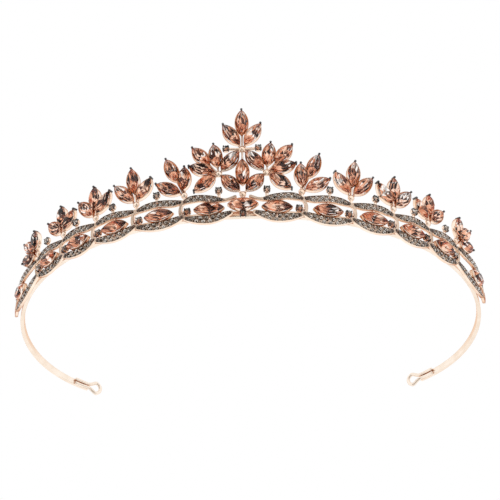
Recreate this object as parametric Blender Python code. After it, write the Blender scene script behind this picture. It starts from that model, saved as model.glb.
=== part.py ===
"""Bridal tiara: a sprung strip headband that carries a leaning ornament of ribbons and marquise crystals.

Frame: metres, +Z up, the front of the tiara faces -Y, the hoop lies flat on z = 0, and the origin is
the middle of the bounding box at the scallops' bottom.

The whole ornament is laid out on a developed strip with two coordinates. "along" is the distance round
the hoop from the front centre, positive on the right wing. "height" is the height above the band's
lowest scallops. The ornament leans outward, and "out" is a distance along the ornament's own face normal.
"""
import math
import bpy
import bmesh
from mathutils import Matrix, Vector

MM = 0.001
FIT_GAP = 0.3 * MM              # clearance left between pieces that touch on the real object

# The hoop: its curvature grows evenly from the front to the ends.
FRONT_RADIUS = 125.0 * MM
END_RADIUS = 40.7 * MM
BAND_HALF_LENGTH = 151.0 * MM
BAND_HEIGHT = 2.2 * MM
BAND_THICKNESS = 1.3 * MM
BAND_LIFT = 3.0 * MM            # the scallops hang this much lower than the strip
BAND_STEP = 5.0 * MM
LEAN = math.radians(10.5)       # how far the ornament leans outward

# End loops, bent from round wire and fixed on the strip's inner face.
WIRE_RADIUS = 0.6 * MM
LOOP_REACH = 4.8 * MM           # how far the loop's centre line passes the strip's end
LOOP_HALF_WIDTH = 2.1 * MM
LOOP_LEG = 6.5 * MM
LOOP_LEG_SHARE = 0.36           # the legs lie closer together than the loop is wide
LOOP_TURNS = 8                  # straight runs round the loop's outer half

# Crystals. The girdle is the widest line of a crystal, and its seat holds it just below the girdle.
CRYSTAL_LENGTH = 8.6 * MM
SMALL_LENGTH = 7.6 * MM         # length of the petals that share a hub side by side
MIDDLE_LENGTH = 8.1 * MM
END_LENGTH = 6.8 * MM           # length of the petals nearest the ends
CRYSTAL_WIDTH = 3.7 * MM
PETAL_FIT_WIDTH = 3.7 * MM      # the petals' distances suit this width, and grow with wider crystals
CROWN_HEIGHT = 1.2 * MM
PAVILION_DEPTH = 1.25 * MM
GIRDLE_HEIGHT = 0.2 * MM
TABLE_SHARE = 0.55
KEEL_SHARE = 0.45

# Seats: open marquise rings cast with the frame.
SEAT_THICKNESS = 0.7 * MM
SEAT_DROP = 0.45 * MM           # from the girdle down to the top of the seat
SEAT_INSET = 0.15 * MM
SEAT_LIP = 0.4 * MM             # how far the seat stands out past the girdle
LAYER_STEP = 0.05 * MM          # crossing seats are set back from each other by this much
CLAW_RADIUS = 0.35 * MM
CLAW_RISE = 0.9 * MM            # how far a claw stands above the girdle
GIRDLE_LEVEL = SEAT_THICKNESS + SEAT_DROP

# Small round crystals aren't modelled here, only the cups they sit in.
CUP_RADIUS = 1.2 * MM
CUP_THICKNESS = 0.9 * MM
STEM_WIDTH = 0.9 * MM
STALK_THICKNESS = 0.3 * MM
STALK_BACK = 0.2 * MM
DISC_BACK = 0.17 * MM           # backs differ a little, so that joined shapes never share a face
BAR_BACK = 0.22 * MM
BAR_FRONT = 0.52 * MM
FOOT_REACH = 1.2 * MM           # how far a joined cluster's foot bars run under its crystals
CLAW_SIDES = 5
DISC_SIDES = 7
HUB_RADIUS = 1.25 * MM

# Ribbons of the two wings.
RIBBON_HEIGHT = 2.3 * MM
SCALLOP_HEIGHT = 2.7 * MM
SCALLOP_DIP = 0.03 * MM         # how far a scallop's curve dips between its points
RIBBON_THICKNESS = 1.0 * MM
RIBBON_NARROW = 1.0 * MM        # height of the plain, unset stretches
SCALLOP_MIDDLE = SCALLOP_HEIGHT / 2 + 0.2 * MM
TAIL_THICKNESS = 0.9 * MM

# Layout along the hoop. A station is where one cell of the wing ends and the next one starts.
STATIONS = [17.2 * MM, 32.0 * MM, 45.8 * MM, 58.8 * MM, 71.8 * MM]
FIRST_CELL_START = 3.2 * MM
FIRST_CELL_MIDDLE = 9.9 * MM
CELL_MIDDLE_SHARE = 0.52        # where a cell's crystal lies between its two stations
ROUND_SHARE = 0.56              # where a cell's round crystal stands above it
LAST_CELL = 21.0 * MM
LAST_CELL_MIDDLE_SHARE = 0.65
TAIL_LENGTH = 5.0 * MM

# Heights of the wing's rows.
CELL_HEIGHT = 5.0 * MM
CELL_CUP_HEIGHT = 4.9 * MM
CELL_CUP_BACK = 0.9 * MM        # from a station back to the cup of the cell before it
UPPER_RIBBON = 8.3 * MM         # height of an upper ribbon at the start of its cell
CLUSTER_HEIGHT = 10.7 * MM
ROUND_HEIGHT = 12.1 * MM
LOW_ROUND = (7.0 * MM, 11.0 * MM)

# The crest's hubs, cups and centre cell, all as (along, height) or height.
CREST_TOP_HUB = 25.3 * MM
CREST_CUP = (4.7 * MM, 25.5 * MM)
CREST_SIDE_HUB_ALONG = 6.9 * MM
CREST_SIDE_HUB_HEIGHT = 16.9 * MM
CREST_BOTTOM_HUB = 9.5 * MM
INNER_START = 1.5 * MM          # from a crest hub to the tip of a crystal that links two hubs
CENTRE_CELL_HEIGHT = 5.9 * MM
CENTRE_CUP_HEIGHT = 2.7 * MM

WING_END = STATIONS[-1] + LAST_CELL
TAIL_END = WING_END + TAIL_LENGTH
ARM_START = 3.0 * MM
ARM_JOINT = TAIL_END + ARM_START  # where each sprung arm leaves the ornament

METAL = ("rose_gold", (0.86, 0.62, 0.50, 1.0), 0.18, 1.0)
STRIP = ("polished_strip", (0.93, 0.74, 0.62, 1.0), 0.22, 1.0)
PEACH = ("peach_crystal", (0.90, 0.50, 0.36, 1.0), 0.05, 0.0)


def clear_scene():
    for item in list(bpy.data.objects):
        bpy.data.objects.remove(item, do_unlink=True)


def make_material(name, colour, roughness, metallic):
    material = bpy.data.materials.new(name)
    material.use_nodes = True
    shader = material.node_tree.nodes["Principled BSDF"]
    shader.inputs["Base Color"].default_value = colour
    shader.inputs["Roughness"].default_value = roughness
    shader.inputs["Metallic"].default_value = metallic
    return material


class Hoop:
    """The developed strip, rolled round the hoop's plan curve."""

    STEP = 0.25 * MM

    def __init__(self):
        count = math.ceil((BAND_HALF_LENGTH + 2 * LOOP_REACH) / self.STEP)
        spread = (1 / END_RADIUS - 1 / FRONT_RADIUS) / BAND_HALF_LENGTH
        self.points = [(0.0, 0.0)]
        self.headings = [0.0]
        for index in range(count):
            middle = (index + 0.5) * self.STEP
            heading = middle / FRONT_RADIUS + spread * middle ** 2 / 2
            last_x, last_y = self.points[-1]
            self.points.append((last_x + math.cos(heading) * self.STEP, last_y + math.sin(heading) * self.STEP))
            end = (index + 1) * self.STEP
            self.headings.append(end / FRONT_RADIUS + spread * end ** 2 / 2)

    def plan(self, along):
        """Point and heading of the hoop at a distance along it."""
        place = abs(along) / self.STEP
        index = min(int(place), len(self.points) - 2)
        share = place - index
        start, end = self.points[index], self.points[index + 1]
        x = start[0] + (end[0] - start[0]) * share
        y = start[1] + (end[1] - start[1]) * share
        heading = self.headings[index] + (self.headings[index + 1] - self.headings[index]) * share
        side = -1 if along < 0 else 1
        return Vector((side * x, y, 0)), side * heading

    def axes(self, along, lean):
        """Unit vectors along the hoop, up the leaning face, and out of that face."""
        heading = self.plan(along)[1]
        tangent = Vector((math.cos(heading), math.sin(heading), 0))
        outward = Vector((math.sin(heading), -math.cos(heading), 0))
        up = outward * math.sin(lean) + Vector((0, 0, math.cos(lean)))
        face = outward * math.cos(lean) - Vector((0, 0, math.sin(lean)))
        return tangent, up, face

    def place(self, along, height, out, lean=LEAN):
        """A point at a true height, on the face that leans outward by lean."""
        point = self.plan(along)[0]
        face = self.axes(along, lean)[2]
        outward = self.axes(along, 0.0)[2]
        return point + outward * (height * math.tan(lean)) + Vector((0, 0, height)) + face * out


HOOP = Hoop()


def new_mesh(name, points, faces):
    mesh = bpy.data.meshes.new(name)
    mesh.from_pydata([tuple(point) for point in points], [], faces)
    work = bmesh.new()
    work.from_mesh(mesh)
    bmesh.ops.recalc_face_normals(work, faces=work.faces)
    work.to_mesh(mesh)
    work.free()
    return mesh


def loft(name, rings, closed=False):
    """A skin through rings of equally many points, with end caps unless it closes on itself."""
    size = len(rings[0])
    points = [point for ring in rings for point in ring]
    faces = []
    spans = len(rings) if closed else len(rings) - 1
    for span in range(spans):
        start = span * size
        end = ((span + 1) % len(rings)) * size
        for corner in range(size):
            after = (corner + 1) % size
            faces.append((start + corner, start + after, end + after, end + corner))
    if not closed:
        faces.append(tuple(range(size)))
        last = (len(rings) - 1) * size
        faces.append(tuple(last + corner for corner in range(size)))
    return new_mesh(name, points, faces)


def marquise_outline(length, width, per_side=3):
    """Two arcs that meet in two points, the pointed tips on the x axis."""
    half_length, half_width = length / 2, width / 2
    radius = (half_length ** 2 + half_width ** 2) / (2 * half_width)
    outline = []
    for index in range(2 * (per_side + 1)):
        angle = math.pi * index / (per_side + 1)
        x = half_length * math.cos(angle)
        y = math.sqrt(radius ** 2 - x ** 2) - (radius - half_width)
        outline.append((x, y if angle < math.pi else -y))
    return outline


def round_outline(radius, count=8):
    return [(radius * math.cos(2 * math.pi * index / count), radius * math.sin(2 * math.pi * index / count))
            for index in range(count)]


class Spot:
    """A place on the ornament's face. Its x axis is turned from straight up towards the band's ends."""

    def __init__(self, along, height, angle=0.0):
        tangent, up, face = HOOP.axes(along, LEAN)
        self.face = face
        self.x = up * math.cos(angle) + tangent * math.sin(angle)
        self.y = face.cross(self.x)
        self.origin = HOOP.place(along, height, 0.0)

    def point(self, x, y, out):
        return self.origin + self.x * x + self.y * y + self.face * out

    def ring(self, outline, out):
        return [self.point(x, y, out) for x, y in outline]


def crystal_spot(along, height, angle, start, length=CRYSTAL_LENGTH):
    """The middle of a crystal whose near tip is at a distance start from a hub."""
    spot = Spot(along, height, angle)
    spot.origin = spot.point(start + length / 2, 0, 0)
    return spot


def crystal_mesh(name, spot, length=CRYSTAL_LENGTH, width=CRYSTAL_WIDTH):
    girdle = marquise_outline(length, width)
    table = marquise_outline(length * TABLE_SHARE, width * TABLE_SHARE)
    keel = marquise_outline(length * KEEL_SHARE, width * 0.1)
    return loft(name, [
        spot.ring(table, GIRDLE_LEVEL + CROWN_HEIGHT),
        spot.ring(girdle, GIRDLE_LEVEL + GIRDLE_HEIGHT),
        spot.ring(girdle, GIRDLE_LEVEL),
        spot.ring(keel, GIRDLE_LEVEL - PAVILION_DEPTH),
    ])


def seat_meshes(spot, length=CRYSTAL_LENGTH, width=CRYSTAL_WIDTH, claws=(1,), layer=0):
    """An open marquise ring, with a claw past each tip that is asked for.

    Rings that cross each other lie on different layers, so that no two of their faces coincide.
    """
    back = layer * LAYER_STEP
    front = SEAT_THICKNESS - layer * LAYER_STEP
    inner = marquise_outline(length - 2 * SEAT_INSET, width - 2 * SEAT_INSET)
    outer = marquise_outline(length + 2 * SEAT_LIP, width + 2 * SEAT_LIP)
    corners = []
    for near, far in zip(inner, outer):
        corners.append([
            spot.point(*near, back),
            spot.point(*far, back),
            spot.point(*far, front),
            spot.point(*near, front),
        ])
    meshes = [loft("seat", corners, closed=True)]
    for end in claws:
        centre = end * (length / 2 + FIT_GAP + CLAW_RADIUS)
        outline = [(x + centre, y) for x, y in round_outline(CLAW_RADIUS, CLAW_SIDES)]
        low = spot.ring(outline, back + LAYER_STEP / 2)
        high = spot.ring(outline, GIRDLE_LEVEL + CLAW_RISE)
        meshes.append(loft("claw", [low, high]))
    return meshes


def stalk_mesh(spot, length, start, low, reach=0.0):
    """A bar from a hub to the near tip of a petal, or past that tip by reach."""
    near, far = -length / 2 - start, -length / 2 + reach
    outline = [(near, -STEM_WIDTH / 2), (far, -STEM_WIDTH / 2), (far, STEM_WIDTH / 2), (near, STEM_WIDTH / 2)]
    return loft("stalk", [spot.ring(outline, low), spot.ring(outline, low + STALK_THICKNESS)])


def seat_stalk_level(layer):
    return STALK_BACK + 0.6 * layer * LAYER_STEP


def disc_mesh(along, height, radius, thickness):
    spot = Spot(along, height)
    outline = round_outline(radius, DISC_SIDES)
    return loft("disc", [spot.ring(outline, DISC_BACK), spot.ring(outline, thickness)])


def bar_mesh(start, end, width):
    """A straight bar between two (along, height) points of the ornament's face."""
    run = Vector((end[0] - start[0], end[1] - start[1]))
    side = Vector((-run.y, run.x)).normalized() * width / 2
    rings = []
    for along, height in (start, end):
        rings.append([
            HOOP.place(along + side.x, height + side.y, BAR_BACK),
            HOOP.place(along - side.x, height - side.y, BAR_BACK),
            HOOP.place(along - side.x, height - side.y, BAR_FRONT),
            HOOP.place(along + side.x, height + side.y, BAR_FRONT),
        ])
    return loft("bar", rings)


def smooth_path(points, per_span):
    """A Catmull-Rom curve through (along, height, width) points."""
    padded = [points[0]] + list(points) + [points[-1]]
    path = []
    for index in range(1, len(padded) - 2):
        before, start, end, after = padded[index - 1:index + 3]
        for step in range(per_span):
            t = step / per_span
            path.append(tuple(
                0.5 * (2 * q + (r - p) * t + (2 * p - 5 * q + 4 * r - s) * t ** 2 + (3 * q - p - 3 * r + s) * t ** 3)
                for p, q, r, s in zip(before, start, end, after)))
    path.append(tuple(points[-1]))
    return path


def ribbon_mesh(side, points, per_span=2, thickness=RIBBON_THICKNESS):
    """A flat ribbon along a path of (along, height, width) points, on the wing at that side."""
    path = smooth_path(points, per_span)
    rings = []
    for index, (along, height, width) in enumerate(path):
        before = path[max(index - 1, 0)]
        after = path[min(index + 1, len(path) - 1)]
        run = Vector((after[0] - before[0], after[1] - before[1])).normalized()
        across = Vector((-run.y, run.x)) * width / 2
        rings.append([
            HOOP.place(side * (along + across.x), height + across.y, 0.0),
            HOOP.place(side * (along - across.x), height - across.y, 0.0),
            HOOP.place(side * (along - across.x), height - across.y, thickness),
            HOOP.place(side * (along + across.x), height + across.y, thickness),
        ])
    return loft("ribbon", rings)


def add_object(name, mesh, material):
    item = bpy.data.objects.new(name, mesh)
    bpy.context.scene.collection.objects.link(item)
    item.parent = ORIGIN
    mesh.materials.clear()
    mesh.materials.append(material)
    for face in mesh.polygons:
        face.use_smooth = False
    return item


def fuse(name, meshes, material):
    """Join overlapping meshes into one solid with Boolean unions."""
    base = bpy.data.objects.new(name, meshes[0])
    bpy.context.scene.collection.objects.link(base)
    tools = []
    for mesh in meshes[1:]:
        tool = bpy.data.objects.new("tool", mesh)
        bpy.context.scene.collection.objects.link(tool)
        tools.append(tool)
        join = base.modifiers.new("join", "BOOLEAN")
        join.operation = "UNION"
        join.solver = "EXACT"
        join.object = tool
    view = bpy.context.evaluated_depsgraph_get()
    solid = bpy.data.meshes.new_from_object(base.evaluated_get(view))
    for item in tools + [base]:
        bpy.data.objects.remove(item, do_unlink=True)
    work = bmesh.new()
    work.from_mesh(solid)
    bmesh.ops.dissolve_limit(work, angle_limit=math.radians(0.2), verts=work.verts, edges=work.edges)
    bmesh.ops.triangulate(work, faces=work.faces)
    work.to_mesh(solid)
    work.free()
    return add_object(name, solid, material)


# ---------------------------------------------------------------- headband

def strip_mesh(name, start, end):
    """A stretch of the flat strip, which stands upright behind the ornament."""
    count = max(2, math.ceil(abs(end - start) / BAND_STEP))
    inner = -FIT_GAP - BAND_THICKNESS
    rings = []
    for index in range(count + 1):
        along = start + (end - start) * index / count
        rings.append([
            HOOP.place(along, BAND_LIFT, inner, 0.0),
            HOOP.place(along, BAND_LIFT, -FIT_GAP, 0.0),
            HOOP.place(along, BAND_LIFT + BAND_HEIGHT, -FIT_GAP, 0.0),
            HOOP.place(along, BAND_LIFT + BAND_HEIGHT, inner, 0.0),
        ])
    return loft(name, rings)


def end_loop_mesh(name, side):
    """A teardrop of round wire, its two legs lying on the inner face of the strip."""
    middle = BAND_LIFT + BAND_HEIGHT / 2
    leg_half = LOOP_HALF_WIDTH * LOOP_LEG_SHARE
    level = -2 * FIT_GAP - BAND_THICKNESS - WIRE_RADIUS
    turn = LOOP_HALF_WIDTH
    centre = BAND_HALF_LENGTH + LOOP_REACH - turn
    path = [(BAND_HALF_LENGTH - LOOP_LEG, middle + leg_half), (BAND_HALF_LENGTH - LOOP_LEG / 2, middle + leg_half)]
    path.append((BAND_HALF_LENGTH, middle + leg_half))
    for index in range(LOOP_TURNS + 1):
        angle = math.pi / 2 - math.pi * index / LOOP_TURNS
        path.append((centre + turn * math.cos(angle), middle + turn * math.sin(angle)))
    path.append((BAND_HALF_LENGTH, middle - leg_half))
    path.append((BAND_HALF_LENGTH - LOOP_LEG / 2, middle - leg_half))
    path.append((BAND_HALF_LENGTH - LOOP_LEG, middle - leg_half))
    centres = [HOOP.place(side * along, height, level, 0.0) for along, height in path]
    rings = []
    for index, (along, height) in enumerate(path):
        before = centres[max(index - 1, 0)]
        after = centres[min(index + 1, len(centres) - 1)]
        run = (after - before).normalized()
        outward = HOOP.axes(side * along, 0.0)[2]
        first = run.cross(outward).normalized()
        second = run.cross(first)
        rings.append([centres[index] + first * x + second * y for x, y in round_outline(WIRE_RADIUS, 8)])
    return loft(name, rings)


# ---------------------------------------------------------------- wings

def curl(end):
    """The plain end of an upper ribbon, which curls down past the station."""
    return [
        (end + 0.5 * MM, UPPER_RIBBON - 0.6 * MM, RIBBON_NARROW),
        (end + 1.2 * MM, UPPER_RIBBON - 2.5 * MM, RIBBON_NARROW),
        (end + 1.1 * MM, UPPER_RIBBON - 4.2 * MM, RIBBON_NARROW),
        (end + 0.5 * MM, UPPER_RIBBON - 5.6 * MM, RIBBON_NARROW),
    ]


def upper_ribbon(start, end):
    """The upper edge of a cell: it rises from the inner hub and curls down to the outer cusp."""
    span = end - start
    return [
        (start - 0.2 * MM, UPPER_RIBBON, RIBBON_NARROW),
        (start + 0.24 * span, UPPER_RIBBON + 0.1 * MM, RIBBON_HEIGHT),
        (start + 0.52 * span, UPPER_RIBBON + 0.7 * MM, RIBBON_HEIGHT),
        (start + 0.80 * span, UPPER_RIBBON + 0.4 * MM, RIBBON_HEIGHT),
    ] + curl(end)


def lower_ribbon(start, end):
    """The scallop under a cell: it starts high on its inner side and hangs down to the rest plane."""
    span = end - start
    low = SCALLOP_HEIGHT / 2 + SCALLOP_DIP + RIBBON_THICKNESS * math.sin(LEAN)
    return [
        (start - 0.3 * MM, low + 2.1 * MM, RIBBON_NARROW),
        (start + 0.18 * span, low + 1.0 * MM, RIBBON_HEIGHT),
        (start + 0.38 * span, low + 0.15 * MM, SCALLOP_HEIGHT),
        (start + 0.58 * span, low, SCALLOP_HEIGHT),
        (start + 0.80 * span, low + 0.45 * MM, RIBBON_HEIGHT),
        (end + 0.6 * MM, low + 1.3 * MM, RIBBON_NARROW),
    ]


def first_upper_ribbon():
    """The first upper ribbon starts beside the crest's bottom hub and dips before it rises."""
    end = STATIONS[0]
    return [
        (HUB_RADIUS + 2 * FIT_GAP, UPPER_RIBBON + 0.5 * MM, RIBBON_NARROW),
        (0.30 * end, UPPER_RIBBON - 0.6 * MM, RIBBON_NARROW),
        (0.50 * end, UPPER_RIBBON - 0.1 * MM, RIBBON_HEIGHT),
        (0.72 * end, UPPER_RIBBON + 0.6 * MM, RIBBON_HEIGHT),
        (0.90 * end, UPPER_RIBBON + 0.5 * MM, RIBBON_HEIGHT),
    ] + curl(end)


def last_upper_ribbon():
    """The last upper ribbon runs down to the tail."""
    start = STATIONS[-1]
    return [
        (start - 0.2 * MM, UPPER_RIBBON, RIBBON_NARROW),
        (start + 0.25 * LAST_CELL, UPPER_RIBBON + 0.1 * MM, RIBBON_HEIGHT),
        (start + 0.55 * LAST_CELL, UPPER_RIBBON + 0.2 * MM, RIBBON_HEIGHT),
        (start + 0.80 * LAST_CELL, UPPER_RIBBON - 1.2 * MM, RIBBON_HEIGHT),
        (start + 1.00 * LAST_CELL, UPPER_RIBBON - 3.5 * MM, RIBBON_NARROW),
        (start + LAST_CELL + 2.0 * MM, UPPER_RIBBON - 4.5 * MM, RIBBON_NARROW),
    ]


def tail_ribbon():
    """The plain tab that ends each wing over the strip."""
    middle = BAND_LIFT + BAND_HEIGHT / 2
    return [
        (WING_END - 2.5 * MM, middle - 0.8 * MM, 1.6 * MM),
        (WING_END + 0.25 * TAIL_LENGTH, middle - 0.1 * MM, 2.8 * MM),
        (WING_END + 0.65 * TAIL_LENGTH, middle, 2.8 * MM),
        (TAIL_END, middle, 1.8 * MM),
    ]


# Petals of a wing's clusters: angle from straight up towards the band's end, distance from the hub to
# the crystal's near tip, and the crystal's length.
PETAL_SPREAD = CRYSTAL_WIDTH / PETAL_FIT_WIDTH
CLUSTER_PETALS = {
    1: ((-2.0, 1.8 * MM, SMALL_LENGTH), (22.0, 5.5 * MM, CRYSTAL_LENGTH), (60.0, 1.4 * MM, MIDDLE_LENGTH)),
    2: ((-34.0, 1.6 * MM, SMALL_LENGTH), (5.0, 4.1 * MM, CRYSTAL_LENGTH), (40.0, 1.7 * MM, CRYSTAL_LENGTH)),
    3: ((-40.0, 1.5 * MM, SMALL_LENGTH), (-1.0, 3.0 * MM, SMALL_LENGTH), (38.0, 1.5 * MM, SMALL_LENGTH)),
    4: ((-44.0, 1.5 * MM, END_LENGTH), (-2.0, 2.8 * MM, END_LENGTH), (42.0, 1.5 * MM, END_LENGTH)),
    5: ((2.0, 1.6 * MM, END_LENGTH), (43.0, 2.8 * MM, END_LENGTH), (84.0, 1.6 * MM, END_LENGTH)),
}
PETAL_NAMES = ("inner", "middle", "outer")
JOINED_CLUSTERS = (4, 5)        # the outermost clusters keep their three crystals in one node


def cluster_spots(side, number):
    """Spot, crystal length and distance from the hub of each petal of one cluster."""
    along = side * STATIONS[number - 1]
    rows = [(angle, start * PETAL_SPREAD, length) for angle, start, length in CLUSTER_PETALS[number]]
    return [(crystal_spot(along, CLUSTER_HEIGHT, side * math.radians(angle), start, length), length, start)
            for angle, start, length in rows]


def cell_middles():
    """Where the lying crystals' middles are along the wing, but for the last one."""
    return [FIRST_CELL_MIDDLE] + [start + CELL_MIDDLE_SHARE * (end - start)
                                  for start, end in zip(STATIONS, STATIONS[1:])]


def last_cell_middle():
    return STATIONS[-1] + LAST_CELL_MIDDLE_SHARE * LAST_CELL


def cell_spots(side):
    """The lying crystals, one in each cell."""
    return [Spot(side * middle, CELL_HEIGHT, math.pi / 2) for middle in cell_middles() + [last_cell_middle()]]


def round_middles():
    """Where the round crystals stand along the wing."""
    return [start + ROUND_SHARE * (end - start) for start, end in zip(STATIONS, STATIONS[1:])]


def wing_meshes(side):
    meshes = [ribbon_mesh(side, lower_ribbon(FIRST_CELL_START, STATIONS[0]))]
    meshes.append(ribbon_mesh(side, first_upper_ribbon()))
    for start, end in zip(STATIONS, STATIONS[1:]):
        meshes.append(ribbon_mesh(side, lower_ribbon(start, end)))
        meshes.append(ribbon_mesh(side, upper_ribbon(start, end)))
    meshes.append(ribbon_mesh(side, lower_ribbon(STATIONS[-1], WING_END)))
    meshes.append(ribbon_mesh(side, last_upper_ribbon()))
    meshes.append(ribbon_mesh(side, tail_ribbon(), thickness=TAIL_THICKNESS))
    for spot in cell_spots(side):
        meshes.extend(seat_meshes(spot, claws=()))
    seat_edge = CRYSTAL_WIDTH / 2 + SEAT_LIP / 2
    for middle in cell_middles() + [last_cell_middle()]:
        meshes.append(bar_mesh((side * middle, CELL_HEIGHT + seat_edge), (side * middle, UPPER_RIBBON), STEM_WIDTH))
        meshes.append(bar_mesh((side * middle, SCALLOP_MIDDLE), (side * middle, CELL_HEIGHT - seat_edge), STEM_WIDTH))
    for number, station in enumerate(STATIONS, 1):
        meshes.append(disc_mesh(side * station, CLUSTER_HEIGHT, HUB_RADIUS, CUP_THICKNESS))
        meshes.append(bar_mesh((side * station, UPPER_RIBBON), (side * station, CLUSTER_HEIGHT), STEM_WIDTH))
        for layer, (spot, length, start) in enumerate(cluster_spots(side, number)):
            meshes.extend(seat_meshes(spot, length, layer=layer))
            meshes.append(stalk_mesh(spot, length, start, seat_stalk_level(layer)))
        cup = (side * (station - CELL_CUP_BACK), CELL_CUP_HEIGHT)
        meshes.append(disc_mesh(*cup, CUP_RADIUS, CUP_THICKNESS))
        meshes.append(bar_mesh(cup, (side * (station + CUP_RADIUS), CELL_CUP_HEIGHT), STEM_WIDTH))
    for middle in round_middles():
        meshes.append(disc_mesh(side * middle, ROUND_HEIGHT, CUP_RADIUS, CUP_THICKNESS))
        meshes.append(bar_mesh((side * middle, UPPER_RIBBON), (side * middle, ROUND_HEIGHT), STEM_WIDTH))
    low_along, low_height = LOW_ROUND
    meshes.append(disc_mesh(side * low_along, low_height, CUP_RADIUS, CUP_THICKNESS))
    meshes.append(bar_mesh((side * low_along, UPPER_RIBBON - STEM_WIDTH / 2), (side * low_along, low_height), STEM_WIDTH))
    return meshes


# ---------------------------------------------------------------- crest

def crest_petals(side):
    """Name, spot, length and distance to the near tip of each crest petal on a side."""
    top_hub = (0.0, CREST_TOP_HUB)
    side_hub = (side * CREST_SIDE_HUB_ALONG, CREST_SIDE_HUB_HEIGHT)
    rise = CREST_TOP_HUB - CREST_SIDE_HUB_HEIGHT
    drop = CREST_SIDE_HUB_HEIGHT - CREST_BOTTOM_HUB
    to_top = math.hypot(CREST_SIDE_HUB_ALONG, rise)
    to_bottom = math.hypot(CREST_SIDE_HUB_ALONG, drop)
    top_angle = -math.degrees(math.atan2(CREST_SIDE_HUB_ALONG, rise))
    bottom_angle = math.degrees(math.atan2(CREST_SIDE_HUB_ALONG, drop)) - 180
    rows = [
        ("top", 33.0, top_hub, 1.7 * MM * PETAL_SPREAD, CRYSTAL_LENGTH),
        ("upper_inner", top_angle, side_hub, INNER_START, to_top - 2 * INNER_START),
        ("lower_inner", bottom_angle, side_hub, INNER_START, to_bottom - 2 * INNER_START),
        ("rising", 8.0, side_hub, 2.6 * MM * PETAL_SPREAD, SMALL_LENGTH),
        ("spread", 39.5, side_hub, 4.6 * MM * PETAL_SPREAD, SMALL_LENGTH),
        ("side", 71.0, side_hub, 1.6 * MM * PETAL_SPREAD, SMALL_LENGTH),
        ("falling", 128.0, side_hub, 1.5 * MM * PETAL_SPREAD, SMALL_LENGTH),
    ]
    return [(name, crystal_spot(*hub, side * math.radians(angle), start, length), length, start)
            for name, angle, hub, start, length in rows]


def centre_petals():
    """Name, spot, length and distance from the hub of the petals on the tiara's centre line."""
    rows = [("top_centre", 0.0, 5.3 * MM), ("hanging_centre", math.pi, 4.2 * MM)]
    return [(name, crystal_spot(0.0, CREST_TOP_HUB, angle, start), CRYSTAL_LENGTH, start)
            for name, angle, start in rows]


def centre_cell_spot():
    return Spot(0.0, CENTRE_CELL_HEIGHT, math.pi / 2)


def crest_meshes():
    meshes = [disc_mesh(0.0, CREST_TOP_HUB, HUB_RADIUS, CUP_THICKNESS)]
    meshes.append(disc_mesh(0.0, CREST_BOTTOM_HUB, HUB_RADIUS, CUP_THICKNESS))
    seat_edge = CRYSTAL_WIDTH / 2 + SEAT_LIP / 2
    meshes.append(bar_mesh((0.0, CREST_BOTTOM_HUB), (0.0, CENTRE_CELL_HEIGHT + seat_edge), STEM_WIDTH))
    meshes.extend(seat_meshes(centre_cell_spot(), claws=()))
    meshes.append(disc_mesh(0.0, CENTRE_CUP_HEIGHT, CUP_RADIUS, CUP_THICKNESS))
    meshes.append(bar_mesh((0.0, CENTRE_CUP_HEIGHT), (0.0, CENTRE_CELL_HEIGHT - seat_edge), STEM_WIDTH))
    for name, spot, length, start in centre_petals():
        meshes.extend(seat_meshes(spot, length))
        meshes.append(stalk_mesh(spot, length, start, seat_stalk_level(0)))
    for side in (-1, 1):
        hub = (side * CREST_SIDE_HUB_ALONG, CREST_SIDE_HUB_HEIGHT)
        meshes.append(disc_mesh(*hub, HUB_RADIUS, CUP_THICKNESS))
        cup = (side * CREST_CUP[0], CREST_CUP[1])
        meshes.append(disc_mesh(*cup, CUP_RADIUS, CUP_THICKNESS))
        meshes.append(bar_mesh((0.0, CREST_TOP_HUB), cup, STEM_WIDTH))
        for index, (name, spot, length, start) in enumerate(crest_petals(side), 1):
            inner = name.endswith("inner")
            layer = (index + side) % 4
            meshes.extend(seat_meshes(spot, length, claws=() if inner else (1,), layer=layer))
            meshes.append(stalk_mesh(spot, length, start, seat_stalk_level(layer)))
            if inner:
                spot.x, spot.y = -spot.x, -spot.y
                meshes.append(stalk_mesh(spot, length, start, seat_stalk_level(layer)))
    return meshes


# ---------------------------------------------------------------- assembly

def add_crystals(material):
    for name, spot, length, start in centre_petals():
        add_object("crystal_" + name, crystal_mesh(name, spot, length), material)
    add_object("crystal_cell_centre", crystal_mesh("cell", centre_cell_spot()), material)
    for side, word in ((-1, "left"), (1, "right")):
        for name, spot, length, start in crest_petals(side):
            add_object(f"crystal_crest_{name}_{word}", crystal_mesh(name, spot, length), material)
        for index, spot in enumerate(cell_spots(side), 1):
            add_object(f"crystal_cell_{index}_{word}", crystal_mesh("cell", spot), material)
        for number in CLUSTER_PETALS:
            spots = cluster_spots(side, number)
            if number in JOINED_CLUSTERS:
                meshes = [crystal_mesh("petal", spot, length) for spot, length, start in spots]
                meshes.extend(foot_meshes(spots))
                fuse(f"crystals_cluster_{number}_{word}", meshes, material)
                continue
            for petal, (spot, length, start) in zip(PETAL_NAMES, spots):
                name = f"crystal_cluster_{number}_{petal}_{word}"
                add_object(name, crystal_mesh("petal", spot, length), material)


def foot_meshes(spots):
    """Short bars over a hub that tie the feet of its three crystals together."""
    level = GIRDLE_LEVEL + 0.05 * MM
    return [stalk_mesh(spot, length, start, level + layer * LAYER_STEP, FOOT_REACH)
            for layer, (spot, length, start) in enumerate(spots)]


clear_scene()
ORIGIN = bpy.data.objects.new("tiara_origin", None)
bpy.context.scene.collection.objects.link(ORIGIN)

metal = make_material(*METAL)
strip = make_material(*STRIP)
peach = make_material(*PEACH)

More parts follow.
